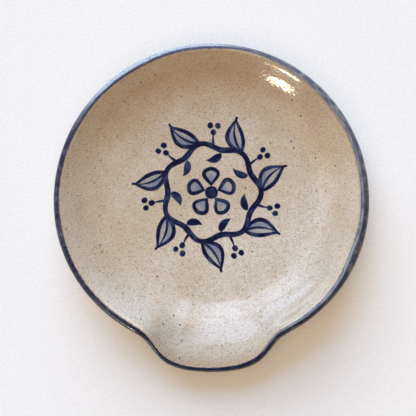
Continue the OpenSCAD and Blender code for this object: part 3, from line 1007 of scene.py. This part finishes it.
def brushStroke(layer, points, radii):
    # a round brush drawn along the points, each with its own radius
    side = stray(wreath["streakStray"])
    for (p, q), (rp, rq) in zip(zip(points, points[1:]), zip(radii, radii[1:])):
        patch = nearby(p, q, max(rp, rq) + wreath["room"])
        x, y = gridX[patch] - p.x, gridY[patch] - p.y
        step = q - p
        t = np.clip((x * step.x + y * step.y) / max(step.length_squared, 1e-9), 0.0, 1.0)
        inside = rp + (rq - rp) * t - np.hypot(x - t * step.x, y - t * step.y)
        layers[layer][patch] = np.maximum(layers[layer][patch], inside)
        nearer = inside > canvas["ink"][patch]
        canvas["ink"][patch] = np.where(nearer, inside, canvas["ink"][patch])
        across = (step.x * y - step.y * x) / max(step.length, 1e-6)
        canvas["across"][patch] = np.where(nearer, across + side, canvas["across"][patch])


def placer(turn, base, lean):
    # from a stroke's own place to the wreath's
    out = heading(turn) * base
    ahead = heading(turn + lean)
    return lambda x, y: out + ahead * x + Vector((-ahead.y, ahead.x)) * y


def pressure(u, start, belly, end):
    # pressed hardest from 0.3 to 0.5 of the way along
    return mix(start, belly, smoothStep(u / 0.3)) if u < 0.5 else mix(belly, end, smoothStep((u - 0.5) / 0.5))


def washPatch(at, length, room):
    # the part of the grid round a leaf or petal, and each point's place along it, 0 to 1, and across it
    start, tip = at(0.0, 0.0), at(length, 0.0)
    patch = nearby(start, tip, room + wreath["room"])
    ahead = (tip - start) / length
    x, y = gridX[patch] - start.x, gridY[patch] - start.y
    return patch, np.clip((x * ahead.x + y * ahead.y) / length, 0.0, 1.0), y * ahead.x - x * ahead.y


def layWash(patch, inside, u, v, base, tip, side):
    tone = base + tip * u + side * np.sign(v)
    pale = np.clip((inside + wreath["washEdge"]) / (2.0 * wreath["washEdge"]), 0.0, 1.0)
    pale = pale * tone * hand.uniform(*wreath["washes"])
    canvas["wash"][patch] = np.maximum(canvas["wash"][patch], pale)
    layers["washes"][patch] = np.maximum(layers["washes"][patch], inside)


def paintVine():
    count = wreath["vineSteps"]
    points, radii = [], []
    for k in range(count + 1):
        turn = 360.0 * k / count
        wave = math.cos(math.radians(turn * wreath["leaves"]))
        radius = vineRadius + vineWave * wave + wander(turn, *wreath["vineStray"])
        points.append(heading(turn) * radius)
        uneven = 0.95 + wander(turn, *wreath["vineUneven"]) - wreath["vineThin"] * wave
        radii.append(wreath["vineWidth"] / 2.0 * uneven)
    brushStroke("vine", points, radii)


def paintLeaf(turn):
    length = leafLength * hand.uniform(*wreath["leafLengths"])
    half = leafLength * wreath["leafWidth"] / 2.0 * hand.uniform(*wreath["leafWidths"])
    bow = leafLength * wreath["leafBow"] * hand.uniform(*wreath["leafBows"])
    at = placer(turn + stray(wreath["leafTurn"]), leafBase, wreath["leafLean"] + stray(wreath["leafTilt"]))
    shake = hand.uniform(0.0, 90.0)

    def middle(u):
        return 4.0 * bow * u * (1.0 - u)

    steps = wreath["outlineSteps"]
    for side in (1.0, -1.0):
        last = 1.0 if side > 0 else hand.uniform(*wreath["leafEnds"])
        points, radii = [], []
        for k in range(steps + 1):
            u = last * k / steps
            offset = max(half * swollen(u, wreath["leafFullness"]) - lineWidth / 2.0, 0.0)
            jitter = wreath["leafShake"] * noise.noise(Vector((u * 3.5, side * 5.0, shake)))
            points.append(at(length * u, middle(u) + side * offset + jitter))
            uneven = 1.0 + wreath["leafUneven"] * noise.noise(Vector((u * 5.0, side, shake)))
            radii.append(lineWidth / 2.0 * pressure(u, *wreath["leafPressure"]) * uneven)
        brushStroke("leaves", points, radii)
    steps = wreath["strokeSteps"]
    places = [wreath["ribStart"] + wreath["ribRun"] * k / steps for k in range(steps + 1)]
    radii = [ribWidth / 2.0 * pressure(k / steps, *wreath["ribPressure"]) for k in range(steps + 1)]
    brushStroke("leaves", [at(length * u, middle(u)) for u in places], radii)
    patch, u, v = washPatch(at, length, half + bow)
    v = v - 4.0 * bow * u * (1.0 - u)
    inside = half * np.sin(np.pi * u ** wreath["leafFullness"]) - np.abs(v) - lineWidth * 0.5
    layWash(patch, inside, u, v, *wreath["leafTone"])


def paintBud(turn):
    lean = 180.0 - wreath["budLean"]
    at = placer(turn + stray(wreath["budTurn"]), budBase, lean + stray(wreath["budTilt"]))
    length = budLength * hand.uniform(*wreath["budLengths"])
    half = budLength * wreath["budWidth"] / 2.0 * hand.uniform(*wreath["budWidths"])
    points, radii = [], []
    for k in range(1, wreath["strokeSteps"]):
        u = k / wreath["strokeSteps"]
        points.append(at(length * u, 4.0 * budLength * wreath["budBow"] * u * (1.0 - u)))
        radii.append(max(half * swollen(u, wreath["budFullness"]), wreath["budTip"]))
    brushStroke("buds", points, radii)


def paintBunch(turn):
    berry, steps = wreath["berry"], wreath["stalkSteps"]
    spacing = 2.0 * berry + wreath["berryGap"]
    fan = math.sin(math.radians(wreath["berryFan"]))
    bunch = wreathRadius * (1.0 - wreath["bunchInset"]) - berry - spacing * fan
    wave = math.cos(math.radians(360.0 * wreath["bunchPlace"]))
    base = vineRadius + vineWave * wave + wreath["vineWidth"] / 2.0
    at = placer(turn + stray(wreath["bunchTurn"]), 0.0, 0.0)
    bend = stray(wreath["stalkBend"])
    points, radii = [], []
    for k in range(steps + 1):
        points.append(at(mix(base, bunch - berry * 0.7, k / steps), bend * math.sin(math.pi * k / steps)))
        radii.append(wreath["stalkWidth"] / 2.0 * (0.75 + 0.25 * math.cos(math.pi * k / steps)))
    brushStroke("berries", points, radii)
    for across, out in wreath["berries"]:
        x = bunch + out * spacing * fan + stray(wreath["berryStray"])
        y = across * spacing + stray(wreath["berryStray"])
        size = berry * hand.uniform(*wreath["berrySizes"])
        brushStroke("berries", [at(x - 0.12, y), at(x + 0.12, y + 0.05)], [size * 0.95, size * 0.92])


def paintPetal(turn):
    fullness, roundness = wreath["petalFullness"], wreath["petalRoundness"]
    length = petalLength * hand.uniform(*wreath["petalLengths"])
    half = petalLength * wreath["petalWidth"] / 2.0 * hand.uniform(*wreath["petalWidths"]) - lineWidth / 2.0
    at = placer(turn + stray(wreath["petalTurn"]), petalStart, 0.0)
    points = []
    for k in range(wreath["petalSteps"] + 1):
        u = (1.0 - math.cos(math.pi * k / wreath["petalSteps"])) / 2.0
        points.append((mix(0.3, length - lineWidth / 2.0, u), half * swollen(u, fullness) ** roundness))
    outline = [at(x, y) for x, y in points] + [at(x, -y) for x, y in reversed(points[:-1])]
    total = len(outline) - 1
    radii = [lineWidth / 2.0 * pressure(k / total, *wreath["petalPressure"]) for k in range(total + 1)]
    brushStroke("blossom", outline, radii)
    patch, u, v = washPatch(at, length, half)
    inside = half * np.sin(np.pi * u ** fullness) ** roundness - np.abs(v)
    layWash(patch, inside, u, v, *wreath["petalTone"])


def paintBlossom():
    for k in range(wreath["petals"]):
        paintPetal(90.0 + 360.0 * k / wreath["petals"])
    core = wreath["centre"]
    ring = [heading(30.0 * k) * (core * wreath["coreRing"] + 0.05 * (k % 3)) for k in range(13)]
    brushStroke("blossom", ring, [core * wreath["coreBrush"]] * len(ring))
    brushStroke("blossom", [Vector((-0.3, 0.0)), Vector((0.4, 0.1))], [core * 0.5, core * 0.45])


def addPaint(name, layer, node, lift, material=lineMaterial):
    # closed sheet wherever the layer is inside its bleed, cut smoothly through the grid's triangles
    field = layers[layer] + wreath["bleed"]
    field = np.where(np.abs(field) < 1e-4, 1e-4, field)
    verts, values, faces, walls, known = [], {"ink": [], "across": [], "wash": []}, [], [], {}

    def addVert(key, a, b, t):
        # part of the way from one corner of the grid to another
        if key not in known:
            known[key] = len(verts)
            x = mix(gridLine[a[0]], gridLine[b[0]], t)
            y = mix(gridLine[a[1]], gridLine[b[1]], t) + wreath["back"]
            top = dishForm["floorHeight"] - swell(Vector((x, y, dishForm["floorHeight"])))
            verts.append((x, y, top + lift))
            for label in values:
                values[label].append(float(mix(canvas[label][a], canvas[label][b], t)))
        return known[key]

    positive = field > 0.0
    active = positive[:-1, :-1] | positive[1:, :-1] | positive[:-1, 1:] | positive[1:, 1:]
    for i, j in zip(*np.nonzero(active)):
        for corners in (((i, j), (i + 1, j), (i + 1, j + 1)), ((i, j), (i + 1, j + 1), (i, j + 1))):
            outline, cuts = [], []
            for a, b in zip(corners, corners[1:] + corners[:1]):
                if positive[a]:
                    outline.append(addVert(a, a, a, 0.0))
                if positive[a] != positive[b]:
                    c, d = min(a, b), max(a, b)
                    outline.append(addVert((c, d), c, d, field[c] / (field[c] - field[d])))
                    cuts.append((outline[-1], positive[a]))
            if len(outline) > 2:
                faces.append(tuple(outline))
            if len(cuts) == 2:
                leaving = [v for v, out in cuts if out][0]
                entering = [v for v, out in cuts if not out][0]
                walls.append((leaving, entering))
    count = len(verts)
    verts += [(x, y, z - lift - wreath["sink"]) for x, y, z in verts]
    faces += [tuple(v + count for v in reversed(face)) for face in faces]
    faces += [(b, a, a + count, b + count) for a, b in walls]
    values = {label: numbers * 2 for label, numbers in values.items()}
    addPiece(name, node, verts, faces, values, material, wreath["sharpAngle"])


spacingAngle = 360.0 / wreath["leaves"]
paintVine()
for k in range(wreath["leaves"]):
    paintLeaf(spacingAngle * k)
    paintBud(spacingAngle * (k + 0.5))
    paintBunch(spacingAngle * (k + wreath["bunchPlace"]))
paintBlossom()
addPaint("wreathWashes", "washes", "painted_washes", wreath["washLift"], washMaterial)
addPaint("wreathLeaves", "leaves", "painted_leaves", wreath["lineLift"])
addPaint("wreathBuds", "buds", "painted_buds", wreath["lineLift"])
addPaint("wreathBlossom", "blossom", "painted_blossom", wreath["lineLift"])
addPaint("wreathBerries", "berries", "painted_berries", wreath["lineLift"])
addPaint("wreathVine", "vine", "painted_vine", wreath["vineLift"])
print("wreath painted")


# Plain pale floor, with a faint paper grain

floorLook = {
    "colour": (0.945, 0.945, 0.945, 1.0), "darker": (0.885, 0.885, 0.885, 1.0), "roughness": 0.9,
    "fibre": (0.90, 3.0, 0.6), "fibreLevels": (0.3, 0.7), "halfSize": 12.0,
}


def addFloor():
    half = floorLook["halfSize"]
    corners = [(-half, -half, 0.0), (half, -half, 0.0), (half, half, 0.0), (-half, half, 0.0)]
    mesh = bpy.data.meshes.new("floor")
    mesh.from_pydata(corners, [], [(0, 1, 2, 3)])
    material, tree, shader = newMaterial("paleFloor", floorLook["colour"])
    tone = fade(tree, noiseAt(tree, placeInMillimetres(tree), *floorLook["fibre"]), *floorLook["fibreLevels"])
    tree.links.new(blend(tree, tone, floorLook["darker"], floorLook["colour"]), shader.inputs["Base Color"])
    shader.inputs["Roughness"].default_value = floorLook["roughness"]
    mesh.materials.append(material)
    addObject("floor", mesh)


# Soft studio light: a tall cool window behind the dish, a small warm lamp in front, warm light from above.
# Shine is how much of each shows in reflections, and spill how much of it lights the surfaces.

lightForm = {
    "panels": {
        "window": {"azimuth": 111.0, "tilt": 90.0, "halfWidth": 0.51, "halfHeight": 2.97, "lift": 3.33,
                   "softness": 0.03, "bar": ((119.0, 44.0), (133.0, 52.0)), "barWidth": 0.050,
                   "colour": (0.46, 0.655, 1.06), "strength": 3.3, "shine": 1.0, "spill": 0.24},
        "sky": {"azimuth": 103.0, "tilt": 50.0, "halfWidth": 0.42, "halfHeight": 0.20, "softness": 0.02,
                "colour": (0.47, 0.68, 1.00), "strength": 5.3, "shine": 0.0, "spill": 1.0},
        "garden": {"azimuth": 106.0, "tilt": 74.5, "halfWidth": 0.50, "halfHeight": 0.24, "softness": 0.02,
                   "colour": (0.77, 0.91, 1.00), "strength": 6.3, "shine": 0.08, "spill": 1.0},
        "sill": {"azimuth": 112.0, "tilt": 85.7, "halfWidth": 0.58, "halfHeight": 0.075, "softness": 0.02,
                 "colour": (0.80, 0.92, 1.00), "strength": 2.2, "shine": 1.0, "spill": 0.0},
        "lamp": {"azimuth": 239.8, "tilt": 71.0, "halfWidth": 0.065, "halfHeight": 0.048, "softness": 0.02,
                 "colour": (1.00, 0.88, 0.66), "strength": 65.0, "shine": 1.0, "spill": 0.045},
    },
    "overhead": (2.06, 1.52, 1.04, 1.0), "overheadAt": (235.0, 10.0), "overheadRange": (0.83, 0.95),
    "room": (0.226, 0.190, 0.131, 1.0),
    "ceiling": (0.10, 0.085, 0.075, 1.0),
    "backdrop": (0.905, 0.910, 0.915, 1.0), "backdropRange": (0.45, 0.1),
}


def makePanelGroup():
    group, given, made = newGroup("lightPanel", [
        ("Middle", "vector", (0, 0, 1)),
        ("Right", "vector", (1, 0, 0)),
        ("Up", "vector", (0, 1, 0)),
        ("Half Width", "value", 0.3),
        ("Half Height", "value", 0.3),
        ("Lift", "value", 0.0),
        ("Softness", "value", 0.02),
        ("Bar", "vector", (1, 0, 0)),
        ("Bar Width", "value", 0.0),
    ], [("Mask", "value")])
    ray = addNode(group, "ShaderNodeTexCoord").outputs["Generated"]
    middle, right, up, bar = [vectorCalc(group, "DOT_PRODUCT", ray, given[axis])
                              for axis in ("Middle", "Right", "Up", "Bar")]
    depth = calc(group, "MAXIMUM", middle, 0.001)
    mask = calc(group, "GREATER_THAN", middle, 0.05)
    for side, size, shift in ((right, given["Half Width"], 0.0), (up, given["Half Height"], given["Lift"])):
        away = calc(group, "ABSOLUTE", calc(group, "SUBTRACT", calc(group, "DIVIDE", side, depth), shift))
        mask = product(group, mask, fade(group, away, calc(group, "ADD", size, given["Softness"]), size))
    clear = calc(group, "GREATER_THAN", calc(group, "ABSOLUTE", bar), given["Bar Width"])
    group.links.new(product(group, mask, clear), made["Mask"])
    return group


def towards(azimuth, tilt):
    level = math.sin(math.radians(tilt)) * heading(azimuth)
    return Vector((level.x, level.y, math.cos(math.radians(tilt))))


def panelInputs(light):
    middle = towards(light["azimuth"], light["tilt"])
    right = Vector((0.0, 0.0, 1.0)).cross(middle).normalized()
    inputs = {
        "Middle": middle, "Right": right, "Up": middle.cross(right),
        "Half Width": light["halfWidth"], "Half Height": light["halfHeight"],
        "Lift": light.get("lift", 0.0), "Softness": light["softness"]
    }
    if "bar" in light:
        start, end = light["bar"]
        inputs["Bar"] = towards(*start).cross(towards(*end)).normalized()
        inputs["Bar Width"] = light["barWidth"]
    return inputs


def setLight():
    form = lightForm
    world = bpy.data.worlds.new("studio")
    bpy.context.scene.world = world
    world.use_nodes = True
    tree = world.node_tree
    panel = makePanelGroup()
    rays = addNode(tree, "ShaderNodeLightPath").outputs
    camera, glossy, clear = [rays["Is " + kind + " Ray"] for kind in ("Camera", "Glossy", "Transmission")]
    ray = addNode(tree, "ShaderNodeTexCoord").outputs["Generated"]
    height = addNode(tree, "ShaderNodeSeparateXYZ", {0: ray}).outputs["Z"]
    shown = blend(tree, fade(tree, height, *form["backdropRange"]), form["ceiling"], form["backdrop"])
    above = vectorCalc(tree, "DOT_PRODUCT", ray, towards(*form["overheadAt"]))
    lit = blend(tree, fade(tree, above, *form["overheadRange"]), form["room"], form["overhead"])
    seen = calc(tree, "ADD", calc(tree, "ADD", camera, glossy), clear, clamp=True)
    colour = blend(tree, seen, lit, shown)
    for light in form["panels"].values():
        mask = fillGroup(tree, panel, panelInputs(light))["Mask"]
        reached = fade(tree, glossy, 0.0, 1.0, light["spill"], light["shine"])
        reached = product(tree, reached, calc(tree, "SUBTRACT", 1.0, camera))
        glow = vectorCalc(tree, "SCALE", light["colour"], product(tree, mask, reached, light["strength"]))
        colour = vectorCalc(tree, "ADD", colour, glow)
    tree.links.new(colour, tree.nodes["Background"].inputs["Color"])


# Camera straight above, as the photograph was taken

cameraForm = {"across": -1.43, "up": -1.97, "height": 500.0, "frame": 170.0, "sensor": 36.0}


def addCamera():
    form = cameraForm
    data = bpy.data.cameras.new("camera")
    camera = addObject("camera", data)
    camera.location = Vector((form["across"], form["up"], form["height"])) * mm
    data.sensor_width = form["sensor"]
    data.lens = form["sensor"] * (form["height"] - dishForm["rimHeight"]) / form["frame"]
    bpy.context.scene.camera = camera


addFloor()
setLight()
addCamera()
bpy.context.scene.view_settings.view_transform = "Standard"
print("stage, light and camera set")
